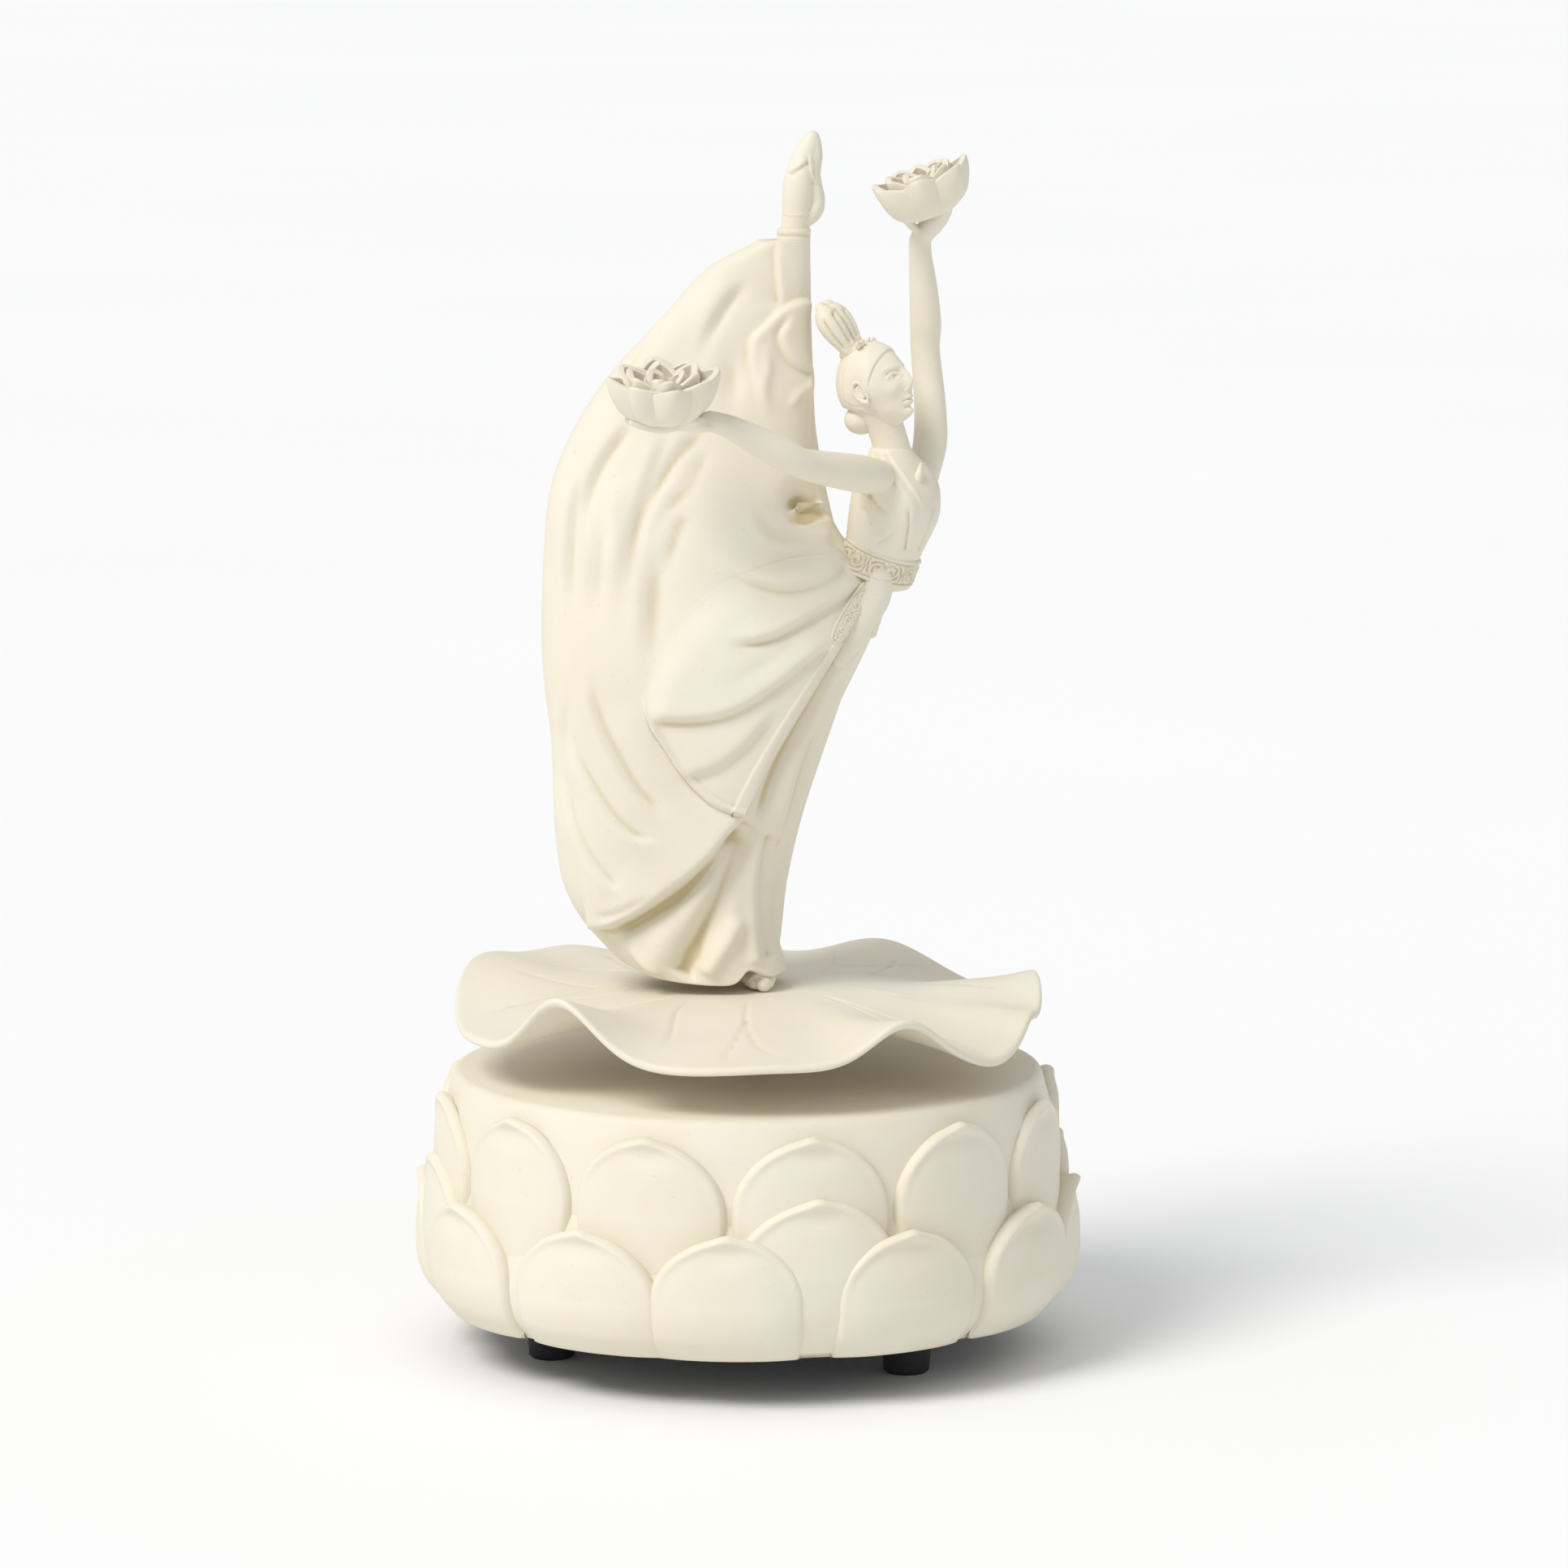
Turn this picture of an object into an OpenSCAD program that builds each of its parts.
// Musical figurine: a porcelain dancer on a lotus leaf that turns above a lotus drum.
// Origin: centre of the circle that the rubber feet stand on, +Z up, the turning axis is Z.

/* [Drum] */
// Radius of the straight drum wall
drum_r = 60; // [58:0.5:60]
// Radius of the drum at its top rim
rim_r = 58.5; // [57:0.5:59]
// Height of the top deck above the table
deck_z = 56; // [55:0.5:57]
// Thickness of the porcelain wall and deck
wall_t = 4; // [3:0.5:5]
// Radius of the spindle hole in the deck
deck_hole_r = 4; // [4:0.25:5]

/* [Feet] */
// Height of the rubber feet, which is also the height of the drum's lower edge
foot_h = 9.5; // [9.5:0.1:10]
// Radius of the circle that the feet stand on
foot_circle_r = 41; // [38:0.5:44]
// Radius of a foot where it meets the bottom plate
foot_top_r = 5.1; // [4.5:0.1:6]
// Radius of a foot at the table
foot_base_r = 4.5; // [4:0.1:5]
// Direction of the first foot, in degrees
foot_turn = 79.5; // [0:0.5:119]

/* [Petals] */
// Height of the tips of the upper petals
upper_tip_z = 53.5; // [50:0.5:54]
// Height of the tips of the middle petals
middle_tip_z = 41.5; // [39:0.5:43]
// Height of the tips of the lower petals
lower_tip_z = 35; // [33:0.5:37]
// Outer radius at the tips of the lower petals
lower_tip_r = 67; // [66:0.5:68]
// Radius of the two arcs that bound a petal of the upper and middle rows
petal_arc_r = 20; // [19:0.5:20]
// Distance of each arc's centre from the petal's middle line
petal_arc_offset = 4.4; // [4.4:0.1:6]

/* [Leaf] */
// Mean radius of the lotus leaf
leaf_r = 59; // [55:0.5:60]
// Height of the leaf's flat middle, on which the dancer stands
leaf_top_z = 70.7; // [70:0.1:72]
// Thickness of the leaf at its middle
leaf_t = 3; // [2.5:0.1:3.5]
// Thickness of the leaf at its edge
leaf_edge_t = 2.3; // [2:0.1:3]

/* [Movement] */
// Radius of the winding arbor, which is also the turning spindle
arbor_r = 2; // [1.9:0.05:2.1]
// Tooth size of the great wheel and of the cylinder's pinion
drive_module = 0.6; // [0.6:0.05:0.6]
// Number of teeth on the great wheel
great_teeth = 48; // [48:1:48]
// Number of teeth on the cylinder's pinion
pinion_teeth = 20; // [20:1:20]
// Tooth size of the governor's wheel and pinion
governor_module = 0.35; // [0.35:0.05:0.35]
// Number of teeth on the cylinder's end wheel
end_teeth = 40; // [40:1:40]
// Number of teeth on the governor's pinion
governor_teeth = 12; // [12:1:12]
// Number of teeth on the comb
comb_teeth = 18; // [16:1:20]

/* [Hidden] */
$fn = 96;

porcelain = [0.93, 0.91, 0.85];
eps = 0.01;

// ---- drum, petals and underside -------------------------------------------------------------

plate_t = 3;
plate_z = foot_h + plate_t;
plate_r = drum_r - wall_t - 1.2;
cavity_r = drum_r - wall_t - 2;
key_hole_r = 7;
petal_root_z = 20;
upper_out_r = drum_r + 2;
middle_out_r = drum_r + 4;

module base_drum() color(porcelain) difference() {
    rotate_extrude() difference() {
        polygon([[0, foot_h], [drum_r - 2.5, foot_h], [drum_r - 1, foot_h + 1.2], [drum_r, foot_h + 3.5],
            [drum_r, deck_z - 7], [rim_r, deck_z - 1.5], [rim_r - 0.5, deck_z - 0.5],
            [rim_r - 1.5, deck_z], [0, deck_z]]);
        square([cavity_r, deck_z - wall_t]);
        square([plate_r + 0.2, plate_z]);
    }
    translate([0, 0, deck_z - wall_t - 1]) cylinder(h = wall_t + 2, r = deck_hole_r);
}

// Radial prism with a petal's outline: two arcs that meet in a blunt point at tip_z.
module petal_prism(tip_z, arc_r, offset_s) {
    rise = sqrt(arc_r * arc_r - offset_s * offset_s);
    rotate([90, 0, 90]) linear_extrude(height = 2 * drum_r) intersection() {
        translate([offset_s, tip_z - rise]) circle(r = arc_r);
        translate([-offset_s, tip_z - rise]) circle(r = arc_r);
    }
}

module petal_ring(angles, tip_z, arc_r = petal_arc_r, offset_s = petal_arc_offset) {
    for (a = angles) intersection() {
        rotate_extrude() children();
        rotate([0, 0, a]) petal_prism(tip_z, arc_r, offset_s);
    }
}

upper_angles = [for (i = [0 : 11]) -78 + 30 * i];
middle_angles = [for (i = [0 : 3]) -77 + 90 * i];
lower_angles = [for (i = [0 : 3]) for (s = [-28, 0, 28]) -31 + 90 * i + s];

module upper_petals() color(porcelain) petal_ring(upper_angles, upper_tip_z) polygon([
    [drum_r, petal_root_z], [upper_out_r, petal_root_z], [upper_out_r, upper_tip_z - 9],
    [upper_out_r - 0.5, upper_tip_z - 4], [upper_out_r - 0.3, upper_tip_z + 0.5],
    [drum_r + 0.2, upper_tip_z + 0.5], [drum_r, upper_tip_z - 4]]);

module middle_petals() color(porcelain) petal_ring(middle_angles, middle_tip_z) polygon([
    [upper_out_r, petal_root_z], [middle_out_r, petal_root_z], [middle_out_r, middle_tip_z - 5],
    [middle_out_r + 0.5, middle_tip_z + 0.5], [upper_out_r + 0.8, middle_tip_z + 0.5],
    [upper_out_r, middle_tip_z - 5]]);

module lower_petals() color(porcelain) petal_ring(lower_angles, lower_tip_z, 18, 2.6) polygon([
    [drum_r - 2.5, foot_h], [drum_r - 1, foot_h], [drum_r + 2, foot_h + 3.5], [drum_r + 4.6, foot_h + 8.5],
    [drum_r + 6.2, foot_h + 15], [lower_tip_r - 0.6, lower_tip_z - 4], [lower_tip_r, lower_tip_z + 0.5],
    [lower_tip_r - 1.6, lower_tip_z + 0.5], [middle_out_r, lower_tip_z - 7], [middle_out_r, petal_root_z],
    [drum_r, petal_root_z], [drum_r, foot_h + 3.5], [drum_r - 1, foot_h + 1.2]]);

bush_bore_r = arbor_r + 0.06;
module spindle_bush() color("ivory") rotate_extrude() polygon([
    [bush_bore_r, deck_z - wall_t - 1], [deck_hole_r, deck_z - wall_t - 1], [deck_hole_r, deck_z],
    [deck_hole_r + 2, deck_z], [deck_hole_r + 2, deck_z + 0.8], [bush_bore_r, deck_z + 0.8]]);

lug_angles = [20, 140, 260];
lug_r = 50.5;
foot_angles = [for (i = [0 : 2]) foot_turn + 120 * i];
pillar_places = [[-13, 12], [-13, -12], [34, -14.5]];
screw_r = 1.5;
screw_head_r = 2.6;
screw_head_t = 1.2;

module at_polar(r, angles) for (a = angles) rotate([0, 0, a]) translate([r, 0, 0]) children();
module at_places(places) for (p = places) translate([p[0], p[1], 0]) children();

module bottom_plate() color("dimgray") difference() {
    translate([0, 0, foot_h]) cylinder(h = plate_t, r = plate_r);
    cylinder(h = plate_z + 1, r = key_hole_r);
    at_polar(lug_r, lug_angles) cylinder(h = plate_z + 1, r = screw_r);
    at_polar(foot_circle_r, foot_angles) cylinder(h = plate_z + 1, r = screw_r);
    at_places(pillar_places) cylinder(h = plate_z + 1, r = screw_r);
}

lug_h = 8;
module plate_lugs() color("ivory") at_polar(lug_r, lug_angles) difference() {
    intersection() {
        translate([-3.5, -5, plate_z]) cube([8, 10, lug_h]);
        translate([-lug_r, 0, plate_z]) cylinder(h = lug_h, r = cavity_r);
    }
    cylinder(h = plate_z + lug_h - 2, r = screw_r);
}

module pan_screw(z, length) {
    translate([0, 0, z]) cylinder(h = length, r = screw_r);
    difference() {
        translate([0, 0, z - screw_head_t]) cylinder(h = screw_head_t, r = screw_head_r);
        translate([-screw_head_r, -0.3, z - screw_head_t - eps]) cube([2 * screw_head_r, 0.6, 0.6]);
    }
}

module plate_screws() color("silver") at_polar(lug_r, lug_angles) pan_screw(foot_h, 8);
module movement_screws() color("silver") at_places(pillar_places) pan_screw(foot_h, 5);

foot_recess = 4;
module rubber_feet() color("black") at_polar(foot_circle_r, foot_angles) rotate_extrude() polygon([
    [screw_head_r + 0.2, 0], [foot_base_r - 0.6, 0], [foot_base_r, 0.6], [foot_top_r, foot_h], [screw_r, foot_h],
    [screw_r, foot_recess], [screw_head_r + 0.2, foot_recess]]);
module foot_screws() color("silver") at_polar(foot_circle_r, foot_angles) pan_screw(foot_recess, foot_h);

// ---- musical movement -----------------------------------------------------------------------

bed_z = plate_z + 2.5;
bed_t = 2.5;
bed_top = bed_z + bed_t;
bed_half_w = 18.5;
bearing_gap = 0.05;
great_r = drive_module * great_teeth / 2;
pinion_r = drive_module * pinion_teeth / 2;
pitch_z = bed_top + 2.5;
tooth_up = 0.5;
tooth_down = 0.6;
axis_z = pitch_z + pinion_r;
cylinder_r = 6;
cylinder_x = [17.5, 34.5];
pin_tip_r = cylinder_r + 0.7;
end_r = governor_module * end_teeth / 2;
governor_r = governor_module * governor_teeth / 2;
end_pitch_x = 38.8;
governor_x = end_pitch_x + governor_r;
governor_z = axis_z + end_r;
post_x = 48;
barrel_r = 12.5;
barrel_z = [bed_top + 3.3, bed_top + 13.5];
sheet_t = 0.8;
ear_y = 16.9;

module movement_bedplate() color("silver") difference() {
    union() {
        translate([-17, -bed_half_w, bed_z]) cube([55, 2 * bed_half_w, bed_t]);
        translate([37, -6, bed_z]) cube([14, 12, bed_t]);
        at_places(pillar_places) translate([0, 0, plate_z]) cylinder(h = bed_z - plate_z + 1, r = 3);
    }
    translate([0, 0, bed_z - 1]) cylinder(h = bed_t + 2, r = arbor_r + bearing_gap);
    at_places(pillar_places) cylinder(h = foot_h + 5, r = screw_r);
    translate([governor_x, 0, bed_top - 1]) cylinder(h = 2, r = 0.6 + bearing_gap);
}

module barrel_housing() color("gold") {
    difference() {
        translate([0, 0, barrel_z[0]]) cylinder(h = barrel_z[1] - barrel_z[0], r = barrel_r);
        translate([0, 0, barrel_z[0] + sheet_t])
            cylinder(h = barrel_z[1] - barrel_z[0] - 2 * sheet_t, r = barrel_r - sheet_t);
        translate([0, 0, barrel_z[0] - 1]) cylinder(h = 3, r = 3.2);
        translate([0, 0, barrel_z[0]]) cylinder(h = 20, r = arbor_r + bearing_gap);
    }
    for (s = [-1, 1]) {
        translate([-3, s > 0 ? barrel_r - 0.5 : -ear_y - 1.6, barrel_z[1] - sheet_t])
            cube([6, ear_y + 2.1 - barrel_r, sheet_t]);
        translate([0, s * ear_y, bed_top]) cylinder(h = barrel_z[1] - bed_top, r = 1.1);
    }
}

spring_t = 0.5;
spring_turns = 5;
spring_in = 3.4;
function spiral(turn, r_add) = let (r = spring_in + (barrel_r - sheet_t - spring_in - spring_t) * turn / spring_turns + r_add)
    [r * cos(360 * turn), r * sin(360 * turn)];
module mainspring() color("slategray") translate([0, 0, barrel_z[0] + 1.4]) linear_extrude(height = 7.4) polygon(
    [for (i = [0 : 100]) spiral(i / 20, 0), for (i = [100 : -1 : 0]) spiral(i / 20, spring_t)]);

// Face teeth on a wheel whose axis is Z: they stand up from z = -tooth_down to z = tooth_up about the pitch plane.
module face_teeth(r, teeth, m, width) {
    half = PI * m / 2 * 0.42;
    for (i = [0 : teeth - 1]) rotate([0, 0, 360 * i / teeth]) translate([r - width / 2, 0, 0])
        rotate([90, 0, 90]) linear_extrude(height = width) polygon([
            [-half * 1.35, -m], [half * 1.35, -m], [half * 0.6, m * 0.8], [-half * 0.6, m * 0.8]]);
}

// Spur pinion on the Z axis with a gap centred on angle phase.
module spur(teeth, m, width, bore, phase) {
    r = m * teeth / 2;
    half = PI * m / 2 * 0.42;
    difference() {
        union() {
            cylinder(h = width, r = r - m);
            for (i = [0 : teeth - 1]) rotate([0, 0, phase + (i + 0.5) * 360 / teeth])
                linear_extrude(height = width) polygon([[r - 1.6 * m, -half * 1.35], [r - 1.6 * m, half * 1.35],
                    [r + 0.8 * m, half * 0.6], [r + 0.8 * m, -half * 0.6]]);
        }
        translate([0, 0, -1]) cylinder(h = width + 2, r = bore);
    }
}

module great_wheel() color("gold") difference() {
    union() {
        translate([0, 0, pitch_z - 2]) cylinder(h = 2 - drive_module + eps, r = great_r + 1);
        translate([0, 0, pitch_z]) face_teeth(great_r, great_teeth, drive_module, 2);
    }
    translate([0, 0, pitch_z - 3]) cylinder(h = 6, r = arbor_r);
}

module along_x(x) translate([x, 0, axis_z]) rotate([90, 0, 90]) children();

module cylinder_pinion() color("gold") along_x(great_r - 0.7) spur(pinion_teeth, drive_module, 1.4, 1, -90);
module cylinder_axle() color("silver") along_x(great_r - 1.2) cylinder(h = end_pitch_x + 0.6 - great_r + 1.2, r = 1);
module pinned_cylinder() color("gold") along_x(cylinder_x[0]) {
    length = cylinder_x[1] - cylinder_x[0];
    difference() {
        cylinder(h = length, r = cylinder_r);
        translate([0, 0, -1]) cylinder(h = length + 2, r = 1);
    }
    for (i = [0 : comb_teeth - 1]) for (k = [0 : 2])
        rotate([0, 0, 137.5 * i + 119 * k]) translate([cylinder_r - 0.4, 0, (i + 0.5) * length / comb_teeth])
            rotate([0, 90, 0]) cylinder(h = pin_tip_r - cylinder_r + 0.4, r = 0.2);
}
module cylinder_end_wheel() color("gold") along_x(end_pitch_x) difference() {
    union() {
        translate([0, 0, -1.6]) cylinder(h = 1.6 - governor_module + eps, r = end_r + 0.7);
        face_teeth(end_r, end_teeth, governor_module, 1.4);
    }
    translate([0, 0, -3]) cylinder(h = 6, r = 1);
}

comb_y = [pin_tip_r + 0.15, 12, 17.5];
comb_t = 0.8;
comb_screw_x = [21, 31];
module comb_block() color("silver") difference() {
    translate([cylinder_x[0], comb_y[1] + 0.5, bed_top])
        cube([cylinder_x[1] - cylinder_x[0], comb_y[2] - comb_y[1] - 0.5, axis_z - comb_t / 2 - bed_top]);
    for (x = comb_screw_x) translate([x, 15, bed_top + 3]) cylinder(h = 10, r = 1);
}
module tone_comb() color("silver") translate([0, 0, axis_z - comb_t / 2]) difference() {
    linear_extrude(height = comb_t) polygon([
        [cylinder_x[0], comb_y[2]],
        for (i = [0 : comb_teeth - 1]) let (p = (cylinder_x[1] - cylinder_x[0]) / comb_teeth, x = cylinder_x[0] + i * p)
            each [[x, comb_y[1]], [x + 0.12, comb_y[0]], [x + p - 0.12, comb_y[0]], [x + p, comb_y[1]]],
        [cylinder_x[1], comb_y[2]]]);
    for (x = comb_screw_x) translate([x, 15, -1]) cylinder(h = 3, r = 1);
}
module comb_screws() color("gray") for (x = comb_screw_x) translate([x, 15, 0]) {
    translate([0, 0, bed_top + 3]) cylinder(h = axis_z + comb_t / 2 - bed_top - 3, r = 1);
    translate([0, 0, axis_z + comb_t / 2]) cylinder(h = 1, r = 1.8);
}

module cylinder_brackets() color("silver") for (x = [great_r + 1.3, cylinder_x[1] + 0.6]) difference() {
    translate([x, -5, bed_top]) cube([0.9, 10, axis_z + 2.5 - bed_top]);
    along_x(x - 1) cylinder(h = 3, r = 1 + bearing_gap);
}

fly_z = [governor_z + 2.5, governor_z + 9];
bracket_top = fly_z[1] + 2;
module governor_bracket() color("silver") difference() {
    union() {
        translate([post_x, -3, bed_top]) cube([1.5, 6, bracket_top - bed_top]);
        translate([governor_x - 2.5, -3, bracket_top - 1.2]) cube([post_x - governor_x + 3, 6, 1.2]);
    }
    translate([governor_x, 0, bracket_top - 3]) cylinder(h = 4, r = 0.6 + bearing_gap);
}
module governor_shaft() color("gray") translate([governor_x, 0, bed_top - 0.8])
    cylinder(h = bracket_top + 0.3 - bed_top + 0.8, r = 0.6);
module governor_pinion() color("gold") translate([governor_x, 0, governor_z - 0.6])
    spur(governor_teeth, governor_module, 1.2, 0.6, 180);
module governor_fly() color("silver") translate([governor_x, 0, 0]) difference() {
    union() {
        translate([0, 0, fly_z[0]]) cylinder(h = 2, r = 1.4);
        for (s = [0, 180]) rotate([0, 0, s]) translate([0.9, -0.2, fly_z[0]]) cube([4.6, 0.4, fly_z[1] - fly_z[0]]);
    }
    translate([0, 0, fly_z[0] - 1]) cylinder(h = 9, r = 0.6);
}

// ---- arbor, key and hub: they turn with the leaf --------------------------------------------

hub_z = 61.5;
arbor_z = [6, 66.5];
insert_r = 4;
module winding_arbor() color("silver") {
    translate([0, 0, arbor_z[0]]) cylinder(h = arbor_z[1] - arbor_z[0], r = arbor_r);
    translate([0, 0, barrel_z[0] - 0.6]) cylinder(h = 9.8, r = arbor_r + 1);
}
module winding_key() color("gold") difference() {
    union() {
        translate([0, 0, 3.5]) cylinder(h = 8.5, r = 3.6);
        translate([0, 0.8, 0]) rotate([90, 0, 0]) linear_extrude(height = 1.6) difference() {
            for (s = [-1, 1]) translate([s * 7, 5]) circle(r = 3.6);
            for (s = [-1, 1]) translate([s * 7.4, 5]) circle(r = 1.8);
        }
    }
    translate([0, 0, arbor_z[0]]) cylinder(h = 10, r = arbor_r);
}
module lock_nut() color("silver") translate([0, 0, hub_z - 3.8]) difference() {
    cylinder(h = 2.6, r = 4, $fn = 6);
    translate([0, 0, -1]) cylinder(h = 5, r = arbor_r);
}
module hub_insert() color("gold") rotate_extrude() polygon([
    [arbor_r, hub_z - 1.2], [insert_r + 2, hub_z - 1.2], [insert_r + 2, hub_z], [insert_r, hub_z],
    [insert_r, arbor_z[1] + 0.7], [0, arbor_z[1] + 0.7], [0, arbor_z[1]], [arbor_r, arbor_z[1]]]);

boss_r = 9;
module leaf_boss() color(porcelain) rotate_extrude() polygon([
    [insert_r, hub_z], [boss_r - 1, hub_z], [boss_r, hub_z + 1], [boss_r + 1.5, leaf_top_z - leaf_t],
    [0, leaf_top_z - leaf_t], [0, arbor_z[1] + 0.7], [insert_r, arbor_z[1] + 0.7]]);

// ---- lotus leaf -----------------------------------------------------------------------------

flat_r = 16;
leaf_droop = 5.2;
// Crests of the leaf's wavy edge: direction, height above the troughs, half width in degrees.
leaf_crests = [[346, 4, 8], [10, 8.5, 13], [62, 7, 15], [100, 4.5, 14], [157, 10, 25], [229, 10.5, 15], [296, 7.5, 13],
    [325, -2.2, 9]];
function turn_gap(a, b) = let (d = abs(a - b) % 360) min(d, 360 - d);
function sum(list, i = 0) = i < len(list) ? list[i] + sum(list, i + 1) : 0;
function leaf_wave(a) = sum([for (c = leaf_crests) c[1] * exp(-pow(turn_gap(a, c[0]) / c[2], 2))]) - leaf_droop;
function leaf_z(t, a) = leaf_top_z - 0.6 * t + leaf_wave(a) * pow(t, 2.2);
function leaf_ring(t, a, down) = let (r = flat_r + (leaf_r - flat_r) * t + 0.6 * t * sin(3 * a))
    [r * cos(a), r * sin(a), leaf_z(t, a) - down];
leaf_steps = 72;
leaf_rings = [0, 0.25, 0.5, 0.7, 0.86, 1];
module lotus_leaf() color(porcelain) {
    n = leaf_steps;
    m = len(leaf_rings);
    top = [for (t = leaf_rings) for (i = [0 : n - 1]) leaf_ring(t, 360 * i / n, 0)];
    low = [for (t = leaf_rings) for (i = [0 : n - 1]) leaf_ring(t, 360 * i / n, leaf_t - (leaf_t - leaf_edge_t) * t)];
    polyhedron(points = concat(top, low, [[0, 0, leaf_top_z], [0, 0, leaf_top_z - leaf_t]]), faces = concat(
        [for (k = [0 : m - 2]) for (i = [0 : n - 1]) let (j = (i + 1) % n) each [
            [k * n + i, k * n + j, (k + 1) * n + i], [k * n + j, (k + 1) * n + j, (k + 1) * n + i],
            [(m + k) * n + i, (m + k + 1) * n + i, (m + k) * n + j],
            [(m + k) * n + j, (m + k + 1) * n + i, (m + k + 1) * n + j]]],
        [for (i = [0 : n - 1]) let (j = (i + 1) % n) each [
            [(m - 1) * n + i, (m - 1) * n + j, (2 * m - 1) * n + i],
            [(m - 1) * n + j, (2 * m - 1) * n + j, (2 * m - 1) * n + i],
            [2 * m * n, j, i], [2 * m * n + 1, m * n + i, m * n + j]]]));
}

// ---- dancer ---------------------------------------------------------------------------------
// Limbs are chains of balls [x, y, z, radius]; gowns are chains of ovals [z, left, right, front, back].

module limb(balls, fn = 18) for (i = [0 : len(balls) - 2]) hull() for (b = [balls[i], balls[i + 1]])
    translate([b[0], b[1], b[2]]) sphere(r = b[3], $fn = fn);
module oval(o) translate([(o[1] + o[2]) / 2, (o[3] + o[4]) / 2, o[0]])
    scale([(o[2] - o[1]) / 2, (o[4] - o[3]) / 2, 1]) cylinder(h = eps, r = 1, $fn = 32);
module ovals(list) for (i = [0 : len(list) - 2]) hull() {
    oval(list[i]);
    oval(list[i + 1]);
}
function grown(list, by) = [for (o = list) [o[0], o[1], o[2] + by / 2, o[3] - by, o[4]]];
function shrunk(list, by, top) = [for (o = list) if (o[0] < top) [o[0], o[1] + by, o[2] - by, o[3] + by, o[4] - by]];

hem_z = 73.5;
gown = [[hem_z, -21, 7.5, -13, 12], [78, -25, 6.5, -13, 13], [84, -32.5, 5.5, -13, 14], [94, -37, 6.2, -14, 15],
    [106, -38.2, 10.2, -16, 16], [120, -38.6, 14.4, -17, 17], [136, -40.4, 21.8, -17, 17],
    [150, -40.3, 27.5, -15, 15], [160, -40, 21, -13, 13.5], [168, -39.4, 14, -11, 12.5], [178, -36.8, 12.8, -8, 11.5],
    [187, -31.5, 12.6, -6, 10.5], [195, -25.5, 12.6, -4, 10], [202, -18.5, 12.4, -2, 9.5], [209, -12.5, 12.2, 0, 9.5],
    [215, -6.5, 12.2, 2, 9.5], [219.3, 3, 12.2, 3, 9.5]];
standing_chain = [[3, -3, 75, 3], [3.5, -1, 84, 3.6], [4, 0, 94, 4.4], [7, 0, 108, 5.2], [11, 0, 124, 6.5],
    [15, 0, 138, 7.5], [18, 0, 148, 7.5]];
raised_chain = [[13, 2, 158, 6.5], [10.5, 3.5, 170, 5.8], [8.6, 4.5, 182, 5.2], [8.2, 5.2, 194, 4.9],
    [8.8, 6, 204, 4.2], [9.3, 6.4, 212, 3.6], [9.2, 6.6, 218, 3.4], [9.3, 6.7, 221.2, 3.2]];
torso_chain = [[24, -1.2, 152, 5.8], [25.5, -1.4, 157, 5.6], [27.4, -1.2, 162, 6.1], [29.6, -0.6, 167, 6.8],
    [30.4, 0, 171, 6.2], [30, 0.2, 174.5, 4.6]];
shoulder_chain = [[25.5, -7.5, 174.3, 3.5], [28.5, -2.5, 175, 3.9], [32, 3, 174.6, 4], [35.2, 7.6, 173.4, 3.7]];
neck_chain = [[29.6, 0, 174.5, 3.2], [28.8, -0.2, 178.5, 2.7], [27.4, -0.6, 183, 2.7], [26, -1, 186, 3]];
right_arm_chain = [[25.2, -8.4, 174.2, 3.2], [21.5, -13, 175.2, 3.3], [16, -18.5, 176.4, 3], [10.8, -23, 178, 2.6],
    [5.5, -25.5, 181, 2.7], [-1, -28, 184.8, 2.2], [-7, -30, 187.6, 1.7]];
right_palm_chain = [[-7, -30, 187.6, 1.7], [-10.5, -31, 187.4, 2.2], [-14.5, -31.5, 186.8, 2], [-18.5, -32, 187.2, 1.4],
    [-21.5, -32.5, 188.6, 0.9]];
left_arm_chain = [[35.4, 8.2, 173.6, 3.2], [36, 11.5, 180, 3.1], [35.8, 14, 187, 2.9], [35.3, 15.5, 194, 2.7],
    [35.3, 15.6, 201, 3], [34.6, 15, 210, 2.4], [34, 14.2, 217.5, 1.9]];
left_palm_chain = [[34, 14.2, 217.5, 1.9], [35, 13.6, 221, 2.2], [37, 12.6, 224, 2.1], [39.6, 12, 227.5, 1.4],
    [41.4, 11.6, 231, 0.9]];
right_flower_at = [-15.4, -32.2, 188.2];
left_flower_at = [34.2, 11.4, 224.4];

module raised_form() limb(raised_chain);
module standing_form() limb(standing_chain);
module torso_form() {
    limb(torso_chain);
    limb(shoulder_chain);
}
module right_arm_form() {
    limb(right_arm_chain, 14);
    limb(right_palm_chain, 12);
}
module left_arm_form() {
    limb(left_arm_chain, 14);
    limb(left_palm_chain, 12);
}

module standing_leg() color(porcelain) difference() {
    standing_form();
    torso_form();
    limb([[2.6, -4, 73.2, 2.4], [3.6, -9, 72.4, 1.6]], 12);
}
module standing_shoe() color(porcelain) difference() {
    limb([[2.6, -2, 73.2, 2.4], [2.6, -4, 73.2, 2.4], [2.8, -6, 73, 2.2], [3.2, -8, 72.6, 1.9], [3.8, -10, 72.3, 1.6],
        [4.2, -11.5, 72.2, 1.4]], 12);
    translate([-20, -30, leaf_top_z - 10]) cube([40, 40, 10]);
    limb([[3, -3, 75, 3], [3.5, -1, 84, 3.6]]);
    ovals([gown[0], gown[1], gown[2]]);
}
module gown_form() ovals(gown);

module skirt() color(porcelain) difference() {
    gown_form();
    ovals(concat([[hem_z - 1, -18, 4.5, -10, 9]], shrunk(gown, 3.2, 175)));
    standing_form();
    raised_form();
    torso_form();
}

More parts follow.
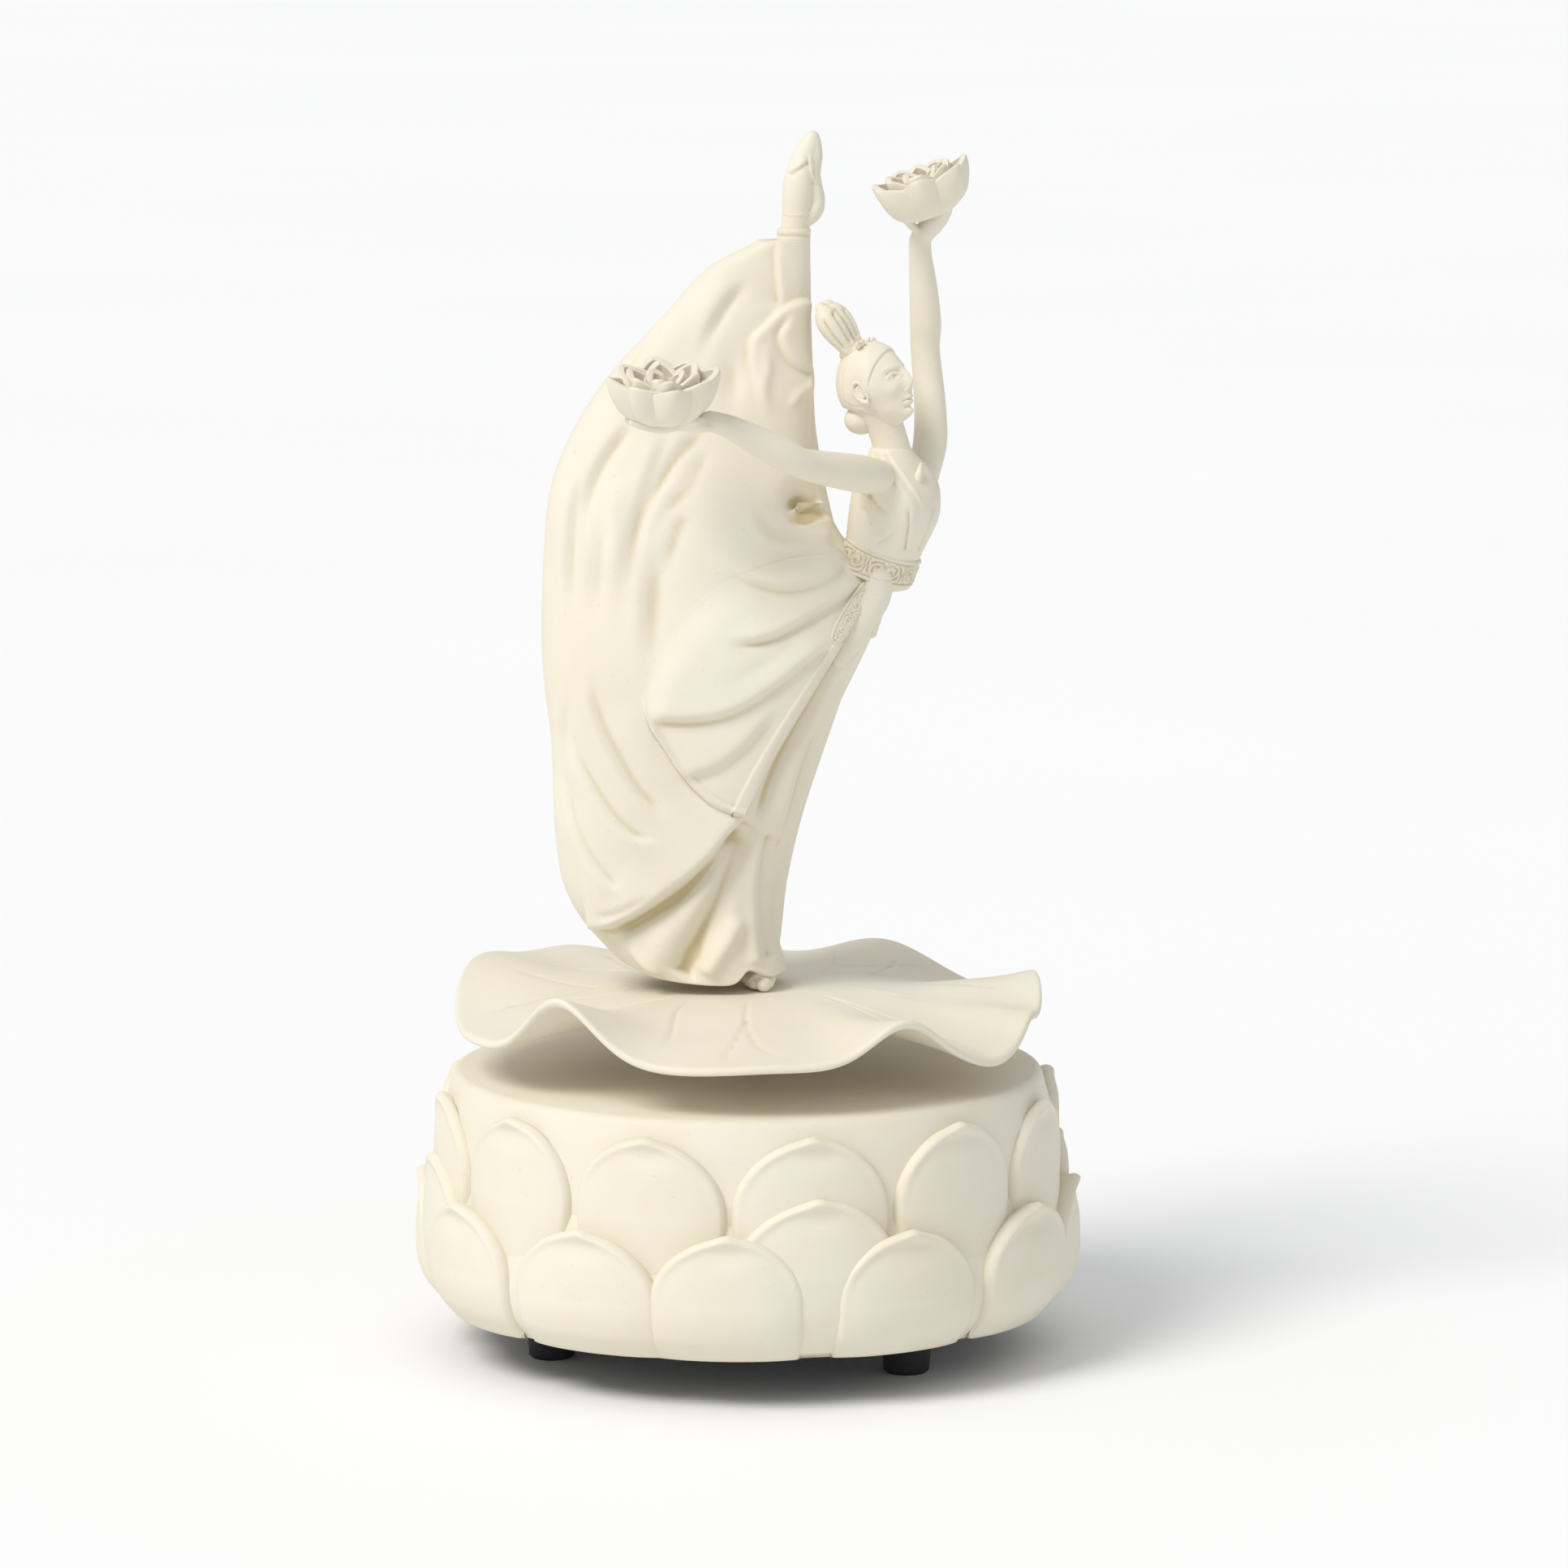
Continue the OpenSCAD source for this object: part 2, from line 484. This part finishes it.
drape_outline = [[28, 152], [24, 140], [1, 109.2], [-9.6, 112.6], [-19, 127], [-22, 145], [-15, 160], [2, 166], [17, 161]];
module front_drape() color(porcelain) difference() {
    intersection() {
        ovals(grown(gown, 1.3));
        translate([0, -4, 0]) rotate([90, 0, 0]) linear_extrude(height = 30) polygon(drape_outline);
    }
    gown_form();
    torso_form();
    raised_form();
    sash_form();
}

// The sash is a tilted band round the waist.
module sash_form() translate([25.2, -1.3, 156.2]) rotate([0, 19, 0]) {
    hull() {
        translate([0, 0, -4]) scale([1.2, 1, 1]) cylinder(h = 1, r = 6.6, $fn = 32);
        translate([0, 0, 3]) scale([1.12, 1, 1]) cylinder(h = 1, r = 6.9, $fn = 32);
    }
}
module waist_sash() color(porcelain) render() difference() {
    sash_form();
    gown_form();
    torso_form();
}
module sash_tab(at, turn, size) translate(at) rotate(turn) hull() for (p = [[-0.5, -0.5], [0.5, -0.5], [0, 0.5]])
    translate([p[0] * size[0], 0, p[1] * size[1]]) sphere(r = 0.7, $fn = 10);
module sash_tabs() color(porcelain) render() difference() {
    union() {
        sash_tab([20.5, -13.3, 145.6], [0, 32, 6], [5, 10]);
        sash_tab([28.6, -3, 147.4], [0, 14, 60], [4, 9]);
    }
    ovals(grown(gown, 1.3));
    sash_form();
    torso_form();
}

module bodice() color(porcelain) difference() {
    torso_form();
    limb(neck_chain);
    right_arm_form();
    left_arm_form();
}

head_at = [25.2, -1.2, 191];
module in_head() translate(head_at) rotate([0, 0, -30]) rotate([0, -22, 0]) children();
// Skull, jaw and face in the head's own axes: +X is where the face looks, +Z is the crown.
module head_form() in_head() {
    limb([[-1.6, 0, 1.6, 6.7], [1, 0, 0.8, 6.2], [2.2, 0, -2.8, 4.6], [3.4, 0, -6, 2.6], [4, 0, -7, 1.7]], 22);
    limb([[6.4, 0, 1.2, 0.7], [7.8, 0, -1.6, 0.7]], 10);
    for (s = [-1, 1]) limb([[-0.8, s * 6, 0.6, 0.8], [-0.4, s * 6.2, -2, 0.7]], 10);
}
module head() color(porcelain) difference() {
    union() {
        head_form();
        limb(neck_chain);
    }
    torso_skin();
}
// The neck ends on a level cut inside the collar.
module torso_skin() translate([0, -30, 100]) cube([60, 60, 72.5]);

module hair_form() in_head() limb([[-2.6, 0, 2.4, 7], [-1, 0, 3.2, 6.4], [0.2, 0, 4, 5.4]], 22);
module bun_form() in_head() limb([[-4.6, 0, -3.4, 3.6], [-5.4, 0, -7.2, 2.6], [-4.6, 0, -8, 2.2]], 16);
module hair_cap() color(porcelain) render() difference() {
    union() {
        hair_form();
        bun_form();
    }
    head_form();
    limb(neck_chain);
}
loop_chain = [[19.6, 0.5, 198.4, 2.4], [17.8, 1, 202, 2.6], [16.4, 1.2, 204.6, 2.6], [15.6, 1.4, 206, 2.2]];
module loops_form() for (s = [-1.7, 1.7]) limb([for (b = loop_chain) [b[0] + s * 0.5, b[1] + s * 0.9, b[2] + s * 0.4, b[3]]], 14);
module hair_loops() color(porcelain) difference() {
    loops_form();
    hair_form();
    raised_form();
    gown_form();
}
module hair_ornament() color(porcelain) difference() {
    for (i = [-2 : 2]) limb([[21.6 + i * 0.5, i * 1.5, 199.8 - abs(i) * 0.5, 0.7],
        [22.4 + i * 0.6, i * 2, 202.6 - abs(i) * 0.8, 0.7]], 10);
    hair_form();
    loops_form();
    head_form();
}

module right_arm() color(porcelain) right_arm_form();
module left_arm() color(porcelain) left_arm_form();

// A lotus bloom: two whorls of cupped petals round a small seed pod, opening along +Z.
module bloom(spread) {
    limb([[0, 0, 1, 2.6], [0, 0, 3, 2.2]], 14);
    for (w = [[8, spread, 7.6, 0], [6, spread * 0.55, 7.2, 25]]) for (i = [0 : w[0] - 1])
        rotate([0, 0, 360 * i / w[0] + w[3]]) hull() {
            translate([1.2, 0, 1]) sphere(r = 0.9, $fn = 8);
            for (s = [-1, 1]) translate([w[1] * 0.72, s * 2.7, w[2] * 0.45]) sphere(r = 0.6, $fn = 8);
            translate([w[1], 0, w[2]]) sphere(r = 0.5, $fn = 8);
        }
}
module right_flower() color(porcelain) difference() {
    translate(right_flower_at) rotate([10, -6, 12]) bloom(8.8);
    right_arm_form();
}
module left_flower() color(porcelain) difference() {
    translate(left_flower_at) rotate([-7, -15, 9]) bloom(8.5);
    left_arm_form();
}

module raised_leg() color(porcelain) difference() {
    raised_form();
    torso_form();
    standing_form();
    limb([[9.3, 6.7, 221, 3.3], [9.3, 6.7, 230, 3.3]]);
}
module raised_shoe() color(porcelain) difference() {
    union() {
        limb([[9.3, 6.7, 221.5, 2.7], [10, 7, 226, 2.9], [10.6, 7.2, 231, 2.8], [11.6, 7.4, 236, 2.3], [12.9, 7.6, 239.2, 1.6]]);
        limb([[10, 7, 224.5, 2.4], [13.2, 7.4, 226.8, 1.7]]);
        limb([[13.2, 7.4, 226.8, 1.7], [12.2, 7.4, 232, 2], [12.9, 7.6, 238, 1.7]]);
    }
    difference() {
        raised_form();
        limb([[9.3, 6.7, 221, 3.3], [9.3, 6.7, 230, 3.3]]);
    }
}

base_drum();
upper_petals();
middle_petals();
lower_petals();
spindle_bush();
bottom_plate();
plate_lugs();
plate_screws();
rubber_feet();
foot_screws();
movement_bedplate();
movement_screws();
barrel_housing();
mainspring();
comb_block();
tone_comb();
comb_screws();
cylinder_brackets();
governor_bracket();
pinned_cylinder();
cylinder_axle();
cylinder_pinion();
cylinder_end_wheel();
governor_shaft();
governor_pinion();
governor_fly();
winding_arbor();
great_wheel();
winding_key();
lock_nut();
hub_insert();
leaf_boss();
lotus_leaf();
standing_leg();
standing_shoe();
skirt();
front_drape();
waist_sash();
sash_tabs();
bodice();
head();
hair_cap();
hair_loops();
hair_ornament();
right_arm();
right_flower();
left_arm();
left_flower();
raised_leg();
raised_shoe();
